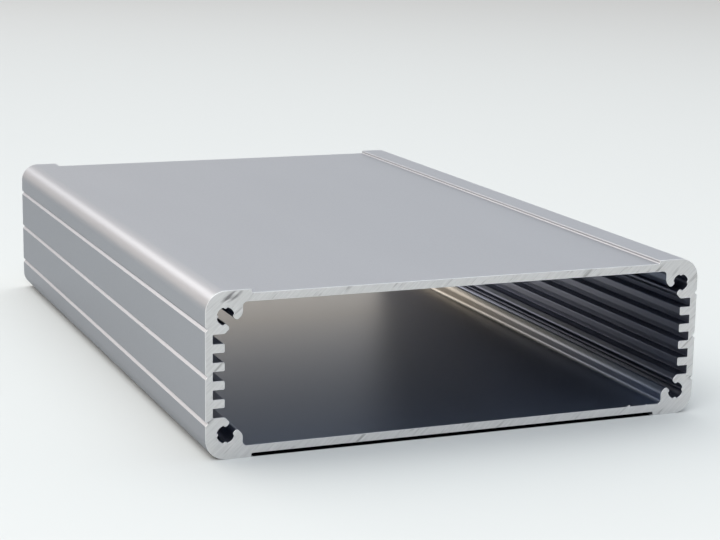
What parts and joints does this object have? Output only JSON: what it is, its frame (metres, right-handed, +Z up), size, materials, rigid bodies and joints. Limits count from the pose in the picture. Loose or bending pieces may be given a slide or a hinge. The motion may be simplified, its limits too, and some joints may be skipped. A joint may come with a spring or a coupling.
{
  "type": "extruded aluminium enclosure",
  "caption": "Open-ended rectangular aluminium extrusion for a circuit card, with internal card slots, corner screw ports, sunken plates and grooved sides.",
  "frame": {"origin": "centre of the footprint, on the surface that the bottom rails rest on", "axes": "+X across the width, +Y along the extrusion from the near sawn end to the far one, +Z up"},
  "size_m": [0.1036, 0.16, 0.032],
  "materials": {
    "anodised_aluminium": "clear satin anodised along the extrusion, bare sawn metal at both ends"
  },
  "bodies": {
    "root": {"enclosure_body": "anodised_aluminium"}
  },
  "joints": []
}
